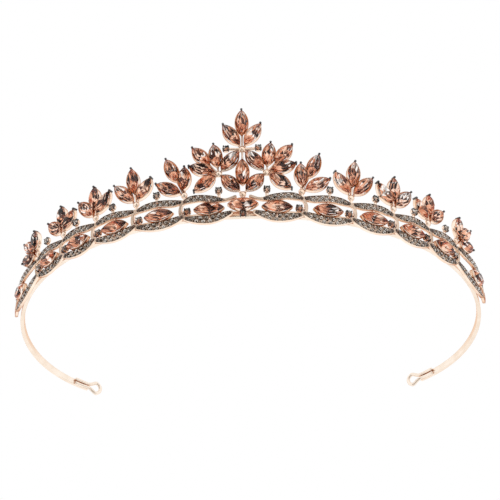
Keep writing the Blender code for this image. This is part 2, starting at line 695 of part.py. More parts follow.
add_object("headband_front", strip_mesh("headband_front", -ARM_JOINT + FIT_GAP / 2, ARM_JOINT - FIT_GAP / 2), strip)
for side, word in ((-1, "left"), (1, "right")):
    arm = strip_mesh("headband_arm", side * (ARM_JOINT + FIT_GAP / 2), side * BAND_HALF_LENGTH)
    add_object(f"headband_arm_{word}", arm, strip)
    add_object(f"end_loop_{word}", end_loop_mesh("end_loop", side), strip)
    fuse(f"wing_frame_{word}", wing_meshes(side), metal)
fuse("crest_frame", crest_meshes(), metal)
add_crystals(peach)

# The origin is the middle of the whole tiara's depth, so the hoop is moved by half of it.
depths = [vertex.co.y for item in ORIGIN.children for vertex in item.data.vertices]
ORIGIN.location = (0.0, -(min(depths) + max(depths)) / 2, 0.0)
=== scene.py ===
"""Bridal tiara: the detailed looks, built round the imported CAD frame.

The layout repeats the CAD part's own: "along" is the distance round the hoop from the front centre,
"height" is above the lowest scallops, and "out" is along the normal of the ornament's leaning face.
All sizes are metres, but for the rows that say millimetres.
"""
import math
import random

import bpy
from mathutils import Matrix, Vector


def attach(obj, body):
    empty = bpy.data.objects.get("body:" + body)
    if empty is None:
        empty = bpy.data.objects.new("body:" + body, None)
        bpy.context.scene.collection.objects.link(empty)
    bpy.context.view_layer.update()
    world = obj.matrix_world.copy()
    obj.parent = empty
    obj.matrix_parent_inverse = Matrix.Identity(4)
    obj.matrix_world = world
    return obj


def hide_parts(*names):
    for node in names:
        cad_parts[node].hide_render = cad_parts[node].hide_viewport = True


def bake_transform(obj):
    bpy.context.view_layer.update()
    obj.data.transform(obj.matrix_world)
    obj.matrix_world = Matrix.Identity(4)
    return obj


MM = 0.001

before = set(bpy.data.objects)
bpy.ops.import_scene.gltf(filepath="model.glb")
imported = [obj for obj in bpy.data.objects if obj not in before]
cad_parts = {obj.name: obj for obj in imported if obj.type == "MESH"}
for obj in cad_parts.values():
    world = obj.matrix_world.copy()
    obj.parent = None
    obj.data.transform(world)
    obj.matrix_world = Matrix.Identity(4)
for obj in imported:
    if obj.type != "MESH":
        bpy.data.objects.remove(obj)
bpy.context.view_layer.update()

# ---- layout, as in the CAD part

HOOP_FRONT_Y = -44.340 * MM     # where the hoop crosses the centre line
FIT_GAP = 0.3 * MM
FRONT_RADIUS = 125.0 * MM
END_RADIUS = 40.7 * MM
BAND_HALF_LENGTH = 151.0 * MM
BAND_HEIGHT = 2.2 * MM
BAND_THICKNESS = 1.3 * MM
BAND_LIFT = 3.0 * MM            # the scallops hang this much lower than the strip
LEAN = math.radians(10.5)

WIRE_RADIUS = 0.6 * MM
LOOP_REACH = 4.8 * MM           # how far the loop's centre line passes the strip's end
LOOP_HALF_WIDTH = 2.1 * MM
LOOP_LEG = 6.5 * MM
LOOP_LEG_SHARE = 0.36

CRYSTAL_LENGTH = 8.6 * MM
SMALL_LENGTH = 7.6 * MM         # length of the petals that share a hub side by side
MIDDLE_LENGTH = 8.1 * MM
END_LENGTH = 6.8 * MM           # length of the petals nearest the ends
CRYSTAL_WIDTH = 3.7 * MM
CROWN_HEIGHT = 1.2 * MM
PAVILION_DEPTH = 1.25 * MM
GIRDLE_HEIGHT = 0.2 * MM
GIRDLE_LEVEL = 1.15 * MM        # a crystal's widest line, above the ornament's back
SEAT_EDGE = CRYSTAL_WIDTH / 2 + 0.1 * MM    # where a stem meets the seat of a lying crystal

HUB_RADIUS = 1.25 * MM
WIDE = 2.3 * MM                 # a ribbon's height where stones are set
NARROW = 1.0 * MM               # and where it is plain
SCALLOP_HEIGHT = 2.7 * MM
SCALLOP_DIP = 0.03 * MM         # how far a scallop's curve dips between its points
RIBBON_THICKNESS = 1.0 * MM
TAIL_THICKNESS = 0.9 * MM

# Layout along the hoop. A station is where one cell of the wing ends and the next one starts.
STATIONS = [17.2 * MM, 32.0 * MM, 45.8 * MM, 58.8 * MM, 71.8 * MM]
FIRST_CELL_START = 3.2 * MM
FIRST_CELL_MIDDLE = 9.9 * MM
CELL_MIDDLE_SHARE = 0.52        # where a cell's crystal lies between its two stations
ROUND_SHARE = 0.56              # where a cell's round crystal stands above it
LAST_CELL = 21.0 * MM
LAST_CELL_MIDDLE_SHARE = 0.65
TAIL_LENGTH = 5.0 * MM

# Heights of the wing's rows.
CELL_HEIGHT = 5.0 * MM
CELL_CUP_HEIGHT = 4.9 * MM
CELL_CUP_BACK = 0.9 * MM        # from a station back to the cup of the cell before it
UPPER_RIBBON = 8.3 * MM         # height of an upper ribbon at the start of its cell
CLUSTER_HEIGHT = 10.7 * MM
ROUND_HEIGHT = 12.1 * MM
LOW_ROUND = (7.0 * MM, 11.0 * MM)

# The crest's hubs, cups and centre cell, all as (along, height) or height.
CREST_TOP_HUB = 25.3 * MM
CREST_CUP = (4.7 * MM, 25.5 * MM)
CREST_SIDE_HUB_ALONG = 6.9 * MM
CREST_SIDE_HUB_HEIGHT = 16.9 * MM
CREST_BOTTOM_HUB = 9.5 * MM
INNER_START = 1.5 * MM          # from a crest hub to the tip of a crystal that links two hubs
CENTRE_CELL_HEIGHT = 5.9 * MM
CENTRE_CUP_HEIGHT = 2.7 * MM

WING_END = STATIONS[-1] + LAST_CELL
TAIL_END = WING_END + TAIL_LENGTH
ARM_START = 3.0 * MM
ARM_JOINT = TAIL_END + ARM_START  # where each sprung arm leaves the ornament


class Hoop:
    """The developed strip, rolled round the hoop's plan curve."""

    STEP = 0.25 * MM

    def __init__(self):
        count = math.ceil((BAND_HALF_LENGTH + 2 * LOOP_REACH) / self.STEP)
        spread = (1 / END_RADIUS - 1 / FRONT_RADIUS) / BAND_HALF_LENGTH
        self.points = [(0.0, HOOP_FRONT_Y)]
        self.headings = [0.0]
        for index in range(count):
            middle = (index + 0.5) * self.STEP
            heading = middle / FRONT_RADIUS + spread * middle ** 2 / 2
            last_x, last_y = self.points[-1]
            next_x = last_x + math.cos(heading) * self.STEP
            next_y = last_y + math.sin(heading) * self.STEP
            self.points.append((next_x, next_y))
            end = (index + 1) * self.STEP
            self.headings.append(end / FRONT_RADIUS + spread * end ** 2 / 2)

    def plan(self, along):
        """Point and heading of the hoop at a distance along it."""
        place = abs(along) / self.STEP
        index = min(int(place), len(self.points) - 2)
        share = place - index
        start, end = self.points[index], self.points[index + 1]
        x = start[0] + (end[0] - start[0]) * share
        y = start[1] + (end[1] - start[1]) * share
        heading = self.headings[index] + (self.headings[index + 1] - self.headings[index]) * share
        side = -1 if along < 0 else 1
        return Vector((side * x, y, 0)), side * heading

    def axes(self, along, lean):
        """Unit vectors along the hoop, up the leaning face, and out of that face."""
        heading = self.plan(along)[1]
        tangent = Vector((math.cos(heading), math.sin(heading), 0))
        outward = Vector((math.sin(heading), -math.cos(heading), 0))
        up = outward * math.sin(lean) + Vector((0, 0, math.cos(lean)))
        face = outward * math.cos(lean) - Vector((0, 0, math.sin(lean)))
        return tangent, up, face

    def place(self, along, height, out, lean=LEAN):
        """A point at a true height, on the face that leans outward by lean."""
        point = self.plan(along)[0]
        face = self.axes(along, lean)[2]
        outward = self.axes(along, 0.0)[2]
        return point + outward * (height * math.tan(lean)) + Vector((0, 0, height)) + face * out


HOOP = Hoop()


class Spot:
    """A place on the ornament's face. Its x axis is turned from straight up towards the band's ends."""

    def __init__(self, along, height, angle=0.0):
        tangent, up, face = HOOP.axes(along, LEAN)
        self.face = face
        self.x = up * math.cos(angle) + tangent * math.sin(angle)
        self.y = face.cross(self.x)
        self.origin = HOOP.place(along, height, 0.0)

    def point(self, x, y, out):
        return self.origin + self.x * x + self.y * y + self.face * out


def crystal_spot(along, height, angle, start, length=CRYSTAL_LENGTH):
    """The middle of a crystal whose near tip is at a distance start from a hub."""
    spot = Spot(along, height, angle)
    spot.origin = spot.point(start + length / 2, 0, 0)
    return spot


# A ribbon's points: (share of its span, mm past that, mm above the ribbon's level, width).
UPPER_ROWS = [(0.0, -0.2, 0.0, NARROW), (0.24, 0.0, 0.1, WIDE), (0.52, 0.0, 0.7, WIDE),
              (0.80, 0.0, 0.4, WIDE)]
FIRST_UPPER_ROWS = [(0.30, 0.0, -0.6, NARROW), (0.50, 0.0, -0.1, WIDE), (0.72, 0.0, 0.6, WIDE),
                    (0.90, 0.0, 0.5, WIDE)]
LAST_UPPER_ROWS = [(0.0, -0.2, 0.0, NARROW), (0.25, 0.0, 0.1, WIDE), (0.55, 0.0, 0.2, WIDE),
                   (0.80, 0.0, -1.2, WIDE), (1.0, 0.0, -3.5, NARROW), (1.0, 2.0, -4.5, NARROW)]
CURL_ROWS = [(1.0, 0.5, -0.6, NARROW), (1.0, 1.2, -2.5, NARROW), (1.0, 1.1, -4.2, NARROW),
             (1.0, 0.5, -5.6, NARROW)]
LOWER_ROWS = [(0.0, -0.3, 2.1, NARROW), (0.18, 0.0, 1.0, WIDE), (0.38, 0.0, 0.15, SCALLOP_HEIGHT),
              (0.58, 0.0, 0.0, SCALLOP_HEIGHT), (0.80, 0.0, 0.45, WIDE), (1.0, 0.6, 1.3, NARROW)]
TAIL_ROWS = [(0.0, -2.5, -0.8, 1.6 * MM), (0.25, 0.0, -0.1, 2.8 * MM), (0.65, 0.0, 0.0, 2.8 * MM),
             (1.0, 0.0, 0.0, 1.8 * MM)]


def ribbon_points(start, end, level, rows):
    """(along, height, width) points of a ribbon."""
    return [(start + share * (end - start) + past * MM, level + above * MM, width)
            for share, past, above, width in rows]


def upper_ribbon(start, end):
    """The upper edge of a cell: it rises from the inner hub and curls down to the outer cusp."""
    return ribbon_points(start, end, UPPER_RIBBON, UPPER_ROWS + CURL_ROWS)


def lower_ribbon(start, end):
    """The scallop under a cell: it starts high on its inner side and hangs down to the rest plane."""
    low = SCALLOP_HEIGHT / 2 + SCALLOP_DIP + RIBBON_THICKNESS * math.sin(LEAN)
    return ribbon_points(start, end, low, LOWER_ROWS)


def first_upper_ribbon():
    """The first upper ribbon starts beside the crest's bottom hub and dips before it rises."""
    first = [(HUB_RADIUS + 2 * FIT_GAP, UPPER_RIBBON + 0.5 * MM, NARROW)]
    return first + ribbon_points(0.0, STATIONS[0], UPPER_RIBBON, FIRST_UPPER_ROWS + CURL_ROWS)


def last_upper_ribbon():
    """The last upper ribbon runs down to the tail."""
    return ribbon_points(STATIONS[-1], WING_END, UPPER_RIBBON, LAST_UPPER_ROWS)


def tail_ribbon():
    """The plain tab that ends each wing over the strip."""
    return ribbon_points(WING_END, TAIL_END, BAND_LIFT + BAND_HEIGHT / 2, TAIL_ROWS)


# Petals of a wing's clusters: angle from straight up towards the band's end, distance from the hub to
# the crystal's near tip, and the crystal's length.
CLUSTER_PETALS = {
    1: ((-2.0, 1.8 * MM, SMALL_LENGTH), (22.0, 5.5 * MM, CRYSTAL_LENGTH), (60.0, 1.4 * MM, MIDDLE_LENGTH)),
    2: ((-34.0, 1.6 * MM, SMALL_LENGTH), (5.0, 4.1 * MM, CRYSTAL_LENGTH), (40.0, 1.7 * MM, CRYSTAL_LENGTH)),
    3: ((-40.0, 1.5 * MM, SMALL_LENGTH), (-1.0, 3.0 * MM, SMALL_LENGTH), (38.0, 1.5 * MM, SMALL_LENGTH)),
    4: ((-44.0, 1.5 * MM, END_LENGTH), (-2.0, 2.8 * MM, END_LENGTH), (42.0, 1.5 * MM, END_LENGTH)),
    5: ((2.0, 1.6 * MM, END_LENGTH), (43.0, 2.8 * MM, END_LENGTH), (84.0, 1.6 * MM, END_LENGTH)),
}
PETAL_NAMES = ("inner", "middle", "outer")
JOINED_CLUSTERS = (4, 5)        # the outermost clusters keep their three crystals in one node


def cluster_spots(side, number):
    """Spot, crystal length and distance from the hub of each petal of one cluster."""
    along = side * STATIONS[number - 1]
    return [(crystal_spot(along, CLUSTER_HEIGHT, side * math.radians(angle), start, length), length, start)
            for angle, start, length in CLUSTER_PETALS[number]]


def cell_middles():
    """Where the lying crystals' middles are along the wing."""
    middles = [start + CELL_MIDDLE_SHARE * (end - start) for start, end in zip(STATIONS, STATIONS[1:])]
    return [FIRST_CELL_MIDDLE] + middles + [STATIONS[-1] + LAST_CELL_MIDDLE_SHARE * LAST_CELL]


def cell_spots(side):
    """The lying crystals, one in each cell."""
    return [Spot(side * middle, CELL_HEIGHT, math.pi / 2) for middle in cell_middles()]


def round_middles():
    """Where the round crystals stand along the wing."""
    return [start + ROUND_SHARE * (end - start) for start, end in zip(STATIONS, STATIONS[1:])]


def crest_petals(side):
    """Name, spot, length and distance to the near tip of each crest petal on a side."""
    top_hub = (0.0, CREST_TOP_HUB)
    side_hub = (side * CREST_SIDE_HUB_ALONG, CREST_SIDE_HUB_HEIGHT)
    rise = CREST_TOP_HUB - CREST_SIDE_HUB_HEIGHT
    drop = CREST_SIDE_HUB_HEIGHT - CREST_BOTTOM_HUB
    to_top = math.hypot(CREST_SIDE_HUB_ALONG, rise)
    to_bottom = math.hypot(CREST_SIDE_HUB_ALONG, drop)
    top_angle = -math.degrees(math.atan2(CREST_SIDE_HUB_ALONG, rise))
    bottom_angle = math.degrees(math.atan2(CREST_SIDE_HUB_ALONG, drop)) - 180
    rows = [
        # Name, angle from straight up, hub, distance to the near tip, length.
        ("top", 33.0, top_hub, 1.7 * MM, CRYSTAL_LENGTH),
        ("upper_inner", top_angle, side_hub, INNER_START, to_top - 2 * INNER_START),
        ("lower_inner", bottom_angle, side_hub, INNER_START, to_bottom - 2 * INNER_START),
        ("rising", 8.0, side_hub, 2.6 * MM, SMALL_LENGTH),
        ("spread", 39.5, side_hub, 4.6 * MM, SMALL_LENGTH),
        ("side", 71.0, side_hub, 1.6 * MM, SMALL_LENGTH),
        ("falling", 128.0, side_hub, 1.5 * MM, SMALL_LENGTH),
    ]
    return [(name, crystal_spot(*hub, side * math.radians(angle), start, length), length, start)
            for name, angle, hub, start, length in rows]


def centre_petals():
    """Name, spot, length and distance from the hub of the petals on the tiara's centre line."""
    rows = [("top_centre", 0.0, 5.3 * MM), ("hanging_centre", math.pi, 4.2 * MM)]
    return [(name, crystal_spot(0.0, CREST_TOP_HUB, angle, start), CRYSTAL_LENGTH, start)
            for name, angle, start in rows]


def centre_cell_spot():
    return Spot(0.0, CENTRE_CELL_HEIGHT, math.pi / 2)


# ---- materials

def new_object(name, data):
    item = bpy.data.objects.new(name, data)
    bpy.context.scene.collection.objects.link(item)
    return item


class Nodes:
    """Short ways to add nodes to a material or world."""

    def __init__(self, owner):
        owner.use_nodes = True
        self.tree = owner.node_tree

    def add(self, kind, links=None, **values):
        """A node with its properties set, and its sockets set or linked by name."""
        node = self.tree.nodes.new("ShaderNode" + kind)
        for name, value in values.items():
            setattr(node, name, value)
        for socket, value in (links or {}).items():
            target = node.inputs[socket]
            if isinstance(value, bpy.types.NodeSocket):
                self.tree.links.new(value, target)
            else:
                target.default_value = value
        return node

    def link(self, start, node, socket):
        self.tree.links.new(start, node.inputs[socket])

    def noise(self, scale, detail=2.0, stretch=(1.0, 1.0, 1.0)):
        """Noise in the object's own coordinates."""
        place = self.add("TexCoord").outputs["Object"]
        mapped = self.add("Mapping", {"Vector": place, "Scale": stretch})
        vector = mapped.outputs["Vector"]
        return self.add("TexNoise", {"Vector": vector, "Scale": scale, "Detail": detail})

    def ramp(self, factor, stops):
        """A colour ramp of (position, colour) stops."""
        node = self.add("ValToRGB", {"Fac": factor})
        elements = node.color_ramp.elements
        while len(elements) < len(stops):
            elements.new(0.5)
        for element, (position, colour) in zip(elements, stops):
            element.position = position
            element.color = (*colour, 1.0)
        return node.outputs["Color"]

    def mix(self, factor, first, second, blend_type="MIX"):
        """A mix of two colours, which are the mix node's inputs 6 and 7."""
        links = {"Factor": factor, 6: first, 7: second}
        return self.add("Mix", links, data_type="RGBA", blend_type=blend_type).outputs[2]

    def math(self, operation, first, second):
        return self.add("Math", {0: first, 1: second}, operation=operation).outputs[0]

    def remap(self, value, low, high, from_low=0.3, from_high=0.7):
        """A value between from_low and from_high, stretched and clamped to low and high."""
        node = self.add("MapRange", {
            "Value": value, "From Min": from_low, "From Max": from_high, "To Min": low, "To Max": high})
        return node.outputs["Result"]


def new_material(name):
    """A material, its nodes and its shader."""
    material = bpy.data.materials.new(name)
    nodes = Nodes(material)
    return material, nodes, nodes.tree.nodes["Principled BSDF"]


PAINTED_SHADE_REACH = 1.2 * MM         # painted shade: two surfaces this close together darken the corner between them
BUMP_DEPTH = 0.02 * MM
BUMP_STRENGTH = 0.35


def metal_material(name, dark, light, roughness, painted_shade, rim, stretch=(1.0, 1.0, 1.0)):
    """Polished plated metal: slight changes of tint, painted shade in recesses, fine polishing marks and
    waviness.

    dark and light are the plating's tints, the colour after them is the painted shade that ambient occlusion
    lays into corners, rim is its tint at a glancing angle, roughness its lowest and highest value, and
    stretch draws the polishing marks out.
    """
    material, nodes, shader = new_material(name)
    shader.inputs["Metallic"].default_value = 1.0
    shader.inputs["Specular Tint"].default_value = (*rim, 1.0)
    tint = nodes.noise(260.0, 3.0)
    plate = nodes.ramp(tint.outputs["Fac"], [(0.3, dark), (0.7, light)])
    # Painted shade: ambient occlusion blends the base colour towards the shade colour in corners and
    # crevices.
    occlusion = nodes.add("AmbientOcclusion", {"Distance": PAINTED_SHADE_REACH}, samples=8)
    unshaded_share = nodes.remap(occlusion.outputs["AO"], 0.0, 1.0, 0.25, 0.75)
    nodes.link(nodes.mix(unshaded_share, (*painted_shade, 1.0), plate), shader, "Base Color")
    marks = nodes.noise(1900.0, 4.0, stretch)
    nodes.link(nodes.remap(marks.outputs["Fac"], *roughness), shader, "Roughness")
    wave = nodes.noise(650.0, 2.0)
    height = nodes.math("ADD", wave.outputs["Fac"], marks.outputs["Fac"])
    relief = nodes.add("Bump", {
        "Height": height, "Strength": BUMP_STRENGTH, "Distance": BUMP_DEPTH})
    nodes.link(relief.outputs["Normal"], shader, "Normal")
    return material


def glass_material(name, dark, light, ior):
    """Cut crystal: clear, with slow changes of tint from stone to stone and a few faint surface marks."""
    material, nodes, shader = new_material(name)
    shader.inputs["Transmission Weight"].default_value = 1.0
    shader.inputs["IOR"].default_value = ior
    tint = nodes.noise(150.0, 2.0)
    nodes.link(nodes.ramp(tint.outputs["Fac"], [(0.35, dark), (0.65, light)]), shader, "Base Color")
    haze = nodes.noise(1500.0, 3.0)
    nodes.link(nodes.remap(haze.outputs["Fac"], 0.0, 0.025, 0.55, 0.75), shader, "Roughness")
    return material


TONE = "painted_reflection_tone"             # the face attribute that holds a facet's painted reflection tone


def foil_material(name, stops):
    """The mirror coat behind a crystal. Each facet's tone is a painted reflection that stands in for what the
    facet mirrors inside the stone.
    """
    material, nodes, shader = new_material(name)
    shader.inputs["Metallic"].default_value = 1.0
    tone = nodes.add("Attribute", attribute_name=TONE)
    wash = nodes.noise(900.0, 2.0)
    drift = nodes.remap(wash.outputs["Fac"], -0.06, 0.06)
    mixed = nodes.math("ADD", tone.outputs["Fac"], drift)
    nodes.link(nodes.ramp(mixed, stops), shader, "Base Color")
    grain = nodes.noise(2600.0, 2.0)
    nodes.link(nodes.remap(grain.outputs["Fac"], 0.02, 0.10), shader, "Roughness")
    return material


# Each metal's fourth colour is the painted shade that its corners darken to.
CASTING = metal_material("rose_gold_cast", (0.92, 0.70, 0.54), (0.98, 0.85, 0.73), (0.12, 0.28),
                         (0.50, 0.22, 0.12), (0.45, 0.20, 0.12))
STRIP = metal_material("rose_gold_strip", (0.84, 0.72, 0.60), (0.92, 0.82, 0.72), (0.18, 0.32),
                       (0.80, 0.52, 0.36), (0.85, 0.62, 0.48), (1.0, 1.0, 4.0))
PRONG = metal_material("dark_prong_metal", (0.055, 0.055, 0.060), (0.20, 0.19, 0.19), (0.18, 0.34),
                       (0.02, 0.02, 0.02), (0.5, 0.5, 0.5))
# Painted shade: the bed between a ribbon's rails is a darker copy of the rose plating, for the shade down
# among the pave stones.
BED = metal_material("pave_bed_painted_shade", (0.42, 0.31, 0.23), (0.78, 0.60, 0.47), (0.2, 0.4),
                     (0.08, 0.05, 0.035), (0.5, 0.4, 0.3))
PEACH = glass_material("peach_glass", (0.98, 0.88, 0.82), (1.0, 0.95, 0.92), 1.36)
# The foil ramps turn each facet's painted reflection tone into colour, from dark brown through orange to
# white.
PEACH_FOIL = foil_material("peach_foil", [
    (0.0, (0.035, 0.016, 0.014)), (0.18, (0.20, 0.085, 0.065)), (0.34, (0.66, 0.28, 0.16)),
    (0.48, (0.90, 0.52, 0.36)), (0.62, (0.97, 0.74, 0.61)), (0.74, (1.0, 0.93, 0.88)),
    (0.9, (1.0, 1.0, 1.0))])
CLEAR = glass_material("clear_glass", (0.93, 0.94, 0.94), (0.98, 0.98, 0.97), 1.52)
CLEAR_FOIL = foil_material("silver_foil", [
    (0.0, (0.05, 0.045, 0.04)), (0.30, (0.24, 0.20, 0.17)), (0.55, (0.58, 0.50, 0.43)),
    (0.80, (1.0, 0.97, 0.94))])


# ---- mesh tools

SHARP_ANGLE = math.radians(38.0)
NO_TONE = 0.5                   # the tone of a face that isn't foil


class Shells:
    """Collects closed shells into one mesh object."""

    def __init__(self):
        self.points = []
        self.faces = []
        self.slots = []
        self.smooth = []
        self.tones = []

    def add_points(self, points):
        """Adds points and returns the number of the first."""
        self.points.extend(points)
        return len(self.points) - len(points)

    def add_faces(self, first, faces, slot=0, smooth=True, tones=None):
        """Adds faces whose corners are counted from the point numbered first."""
        for index, face in enumerate(faces):
            self.faces.append([first + corner for corner in face])
            self.slots.append(slot)
            self.smooth.append(smooth)
            self.tones.append(tones[index] if tones else NO_TONE)

    def loft(self, rings, closed=False):
        """A skin through rings of equally many points, with end caps unless it closes on itself."""
        size = len(rings[0])
        points = [point for ring in rings for point in ring]
        faces = []
        for span in range(len(rings) if closed else len(rings) - 1):
            start = span * size
            end = ((span + 1) % len(rings)) * size
            for corner in range(size):
                after = (corner + 1) % size
                faces.append((start + corner, start + after, end + after, end + corner))
        if not closed:
            faces.append(tuple(reversed(range(size))))
            last = (len(rings) - 1) * size
            faces.append(tuple(last + corner for corner in range(size)))
        volume = 0.0
        for face in faces:
            a = points[face[0]]
            for b, c in zip(face[1:], face[2:]):
                volume += a.dot(points[b].cross(points[c]))
        if volume < 0:
            faces = [tuple(reversed(face)) for face in faces]
        self.add_faces(self.add_points(points), faces)

    def object(self, name, materials):
        mesh = bpy.data.meshes.new(name)
        mesh.from_pydata([tuple(point) for point in self.points], [], self.faces)
        for material in materials:
            mesh.materials.append(material)
        for face, slot, smooth in zip(mesh.polygons, self.slots, self.smooth):
            face.material_index = slot
            face.use_smooth = smooth
        mesh.set_sharp_from_angle(angle=SHARP_ANGLE)
        if any(tone != NO_TONE for tone in self.tones):
            tones = mesh.attributes.new(TONE, "FLOAT", "FACE")
            tones.data.foreach_set("value", self.tones)
        mesh.update()
        return new_object(name, mesh)


def circle(radius, count, turn=0.0):
    """Points of a circle as (x, y)."""
    angles = [turn + 2 * math.pi * index / count for index in range(count)]
    return [(radius * math.cos(angle), radius * math.sin(angle)) for angle in angles]


def arc_outline(length, width, count, turn=0.0):
    """Points of a marquise: two arcs that meet in tips on the x axis."""
    half_length, half_width = length / 2, width / 2
    radius = (half_length ** 2 + half_width ** 2) / (2 * half_width)
    outline = []
    for index in range(count):
        angle = turn + 2 * math.pi * index / count
        x = half_length * math.cos(angle)
        y = math.sqrt(radius ** 2 - x ** 2) - (radius - half_width)
        outline.append((x, y if math.sin(angle) > 0 else -y))
    return outline


GLASS_SLOT = 0
FOIL_SLOT = 1

# A cut stone's rings, as shares of its girdle's size, and how far down the pavilion its lower ring lies.
TABLE_SHARE = 0.62
LOWER_SHARE = 0.50
LOWER_DROP = 0.62
CULET_SHARE = 0.04

# Painted reflection tones of the foil facets run from 0, dark, to 1, bright.
MARQUISE_TONES = (0.0, 0.12, 0.32, 0.44, 0.60, 0.95)
PAVE_TONES = (0.12, 0.40, 0.60, 0.78, 0.95, 1.0)
CULET_TONE = 0.1
WAIST_COSINE = 0.75             # facets that face within this cosine of sideways lie across the waist
WAIST_SHADES = (0.0, 0.35)      # how much darker such a facet may be
NEAR_END_COSINE = -0.6          # facets past this cosine lie at the near end, where tones even out
NEAR_END_TONE = 0.42
NEAR_END_CONTRAST = 0.3
RIM_FACET, CORE_FACET = 1.0, 0.3        # where a foil facet lies: out by the girdle, or by the culet


def painted_reflection_tone(place, angle, tones):
    """How bright one foil facet's painted reflection is: darker inside the waist, and an even orange at the
    near end.
    """
    if tones:
        return random.choice(tones)
    tone = random.choice(MARQUISE_TONES)
    if place < LOWER_SHARE and abs(math.cos(angle)) < WAIST_COSINE:
        tone -= random.choice(WAIST_SHADES)
    if math.cos(angle) < NEAR_END_COSINE:
        tone = NEAR_END_TONE + NEAR_END_CONTRAST * (tone - NEAR_END_TONE)
    return min(max(tone, 0.0), 1.0)


def cut_stone(shells, spot, outline, levels, sides, palette=None):
    """A cut stone on any outline: a low crown with a table, over a foiled pavilion of broad facets.

    outline(share, half) gives the girdle's points at a share of its size, turned by half a facet when half
    is true. levels are the heights of the table, the girdle's top and bottom, and the culet. palette gives
    the foil's painted reflection tones where they don't depend on the facet's place.
    """
    table_level, girdle_top, girdle_base, culet_level = levels
    depth = girdle_base - culet_level
    flat = [(outline(TABLE_SHARE, False), table_level), (outline(1.0, False), girdle_top),
            (outline(1.0, False), girdle_base),
            (outline(LOWER_SHARE, True), girdle_base - depth * LOWER_DROP),
            (outline(CULET_SHARE, False), culet_level)]
    points = [spot.point(x, y, level) for ring, level in flat for x, y in ring]
    table, crown, base, lower, culet = (sides * index for index in range(5))
    top = [tuple(range(table, table + sides))]
    foil = [tuple(reversed(range(culet, culet + sides)))]
    tones = [CULET_TONE]
    for k in range(sides):
        n = (k + 1) % sides
        top.append((table + k, crown + k, crown + n, table + n))
        top.append((crown + k, base + k, base + n, crown + n))
        angle = 2 * math.pi * (k + 0.5) / sides
        foil += [(base + k, lower + k, base + n), (base + n, lower + k, lower + n)]
        foil += [(lower + k, culet + n, lower + n), (lower + k, culet + k, culet + n)]
        after = angle + math.pi / sides
        for place, turn in ((RIM_FACET, angle), (RIM_FACET, after), (CORE_FACET, after), (CORE_FACET, angle)):
            tones.append(painted_reflection_tone(place, turn, palette))
    first = shells.add_points(points)
    shells.add_faces(first, top, GLASS_SLOT, False)
    shells.add_faces(first, foil, FOIL_SLOT, False, tones)


MARQUISE_SIDES = 8
STONE_SPREAD = 1.06             # the stone's share of its CAD size, up to the lip that holds it


def marquise_stone(shells, spot, length):
    def outline(share, half):
        share *= STONE_SPREAD
        turn = math.pi / MARQUISE_SIDES if half else 0.0
        return arc_outline(length * share, CRYSTAL_WIDTH * share, MARQUISE_SIDES, turn)
    base = GIRDLE_LEVEL
    levels = (base + CROWN_HEIGHT, base + GIRDLE_HEIGHT, base, base - PAVILION_DEPTH)
    cut_stone(shells, spot, outline, levels, MARQUISE_SIDES)


ROUND_GIRDLE = 0.04 * MM        # height of a round stone's girdle


def round_stone(shells, spot, radius, levels, sides, palette=None):
    """A round stone. levels are the heights of its table, its girdle and its culet."""
    table, girdle, culet = levels

    def outline(share, half):
        return circle(radius * share, sides, math.pi / sides if half else 0.0)
    cut_stone(shells, spot, outline, (table, girdle + ROUND_GIRDLE, girdle, culet), sides, palette)


def finish_piece(shells, name, materials, node, body="ornament"):
    """Makes the collected shells into one piece that rides on a body and stands for a CAD node."""
    item = shells.object(name, materials)
    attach(item, body)
    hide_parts(node)


def marquise_piece(name, spot, length, node):
    """One marquise crystal, a piece of its own, that stands for a CAD node."""
    shells = Shells()
    marquise_stone(shells, spot, length)
    finish_piece(shells, name, [PEACH, PEACH_FOIL], node)


# ---- metalwork

# A seat's section in millimetres: (out past the crystal's CAD outline, level).
SEAT_ROWS = [(-0.15, 0.02), (0.20, 0.0), (0.32, 0.14), (0.36, 0.45), (0.33, 0.95), (0.29, 1.34),
             (0.23, 1.42), (0.16, 1.36), (0.14, 1.10), (-0.10, 0.72), (-0.24, 0.20)]
SEAT_CORNERS = 28


def seat(shells, spot, length=CRYSTAL_LENGTH):
    """An open bezel: a rounded ring under the girdle with a thin lip round the stone."""
    inner = arc_outline(length, CRYSTAL_WIDTH, SEAT_CORNERS)
    outer = arc_outline(length + MM, CRYSTAL_WIDTH + MM, SEAT_CORNERS)
    rings = []
    for base, edge in zip(inner, outer):
        # The outlines are half a millimetre apart, so step is one millimetre outward.
        step = Vector((edge[0] - base[0], edge[1] - base[1])) * 2
        rings.append([spot.point(base[0] + step.x * offset, base[1] + step.y * offset, level * MM)
                      for offset, level in SEAT_ROWS])
    shells.loft(rings, closed=True)


# A claw past a crystal's tip, which ends in a bead, in millimetres: (distance, level, radius).
CLAW_ROWS = [(0.50, 0.05, 0.24), (0.48, 0.9, 0.25), (0.42, 1.35, 0.28), (0.34, 1.50, 0.36),
             (0.30, 1.66, 0.40), (0.28, 1.82, 0.32), (0.28, 1.90, 0.14)]
CLAW_SIDES = 8


def prong(shells, spot, rows, sides, start, aim=(1.0, 0.0)):
    """A prong that leans in over a stone. Its rows' distances count from start, in the direction aim."""
    rings = []
    for offset, level, radius in rows:
        reach = start + offset * MM
        rings.append([spot.point(reach * aim[0] + x, reach * aim[1] + y, level * MM)
                      for x, y in circle(radius * MM, sides)])
    shells.loft(rings)


GRAIN_RADIUS = 0.15 * MM
GRAIN_SIDES = 6


def grain(shells, centre):
    """A small round bead of metal that holds a pave stone."""
    rings = []
    for step in range(1, GRAIN_SIDES):
        angle = math.pi * step / GRAIN_SIDES
        rings.append([centre + Vector((x, y, GRAIN_RADIUS * math.cos(angle)))
                      for x, y in circle(GRAIN_RADIUS * math.sin(angle), GRAIN_SIDES)])
    shells.loft(rings)


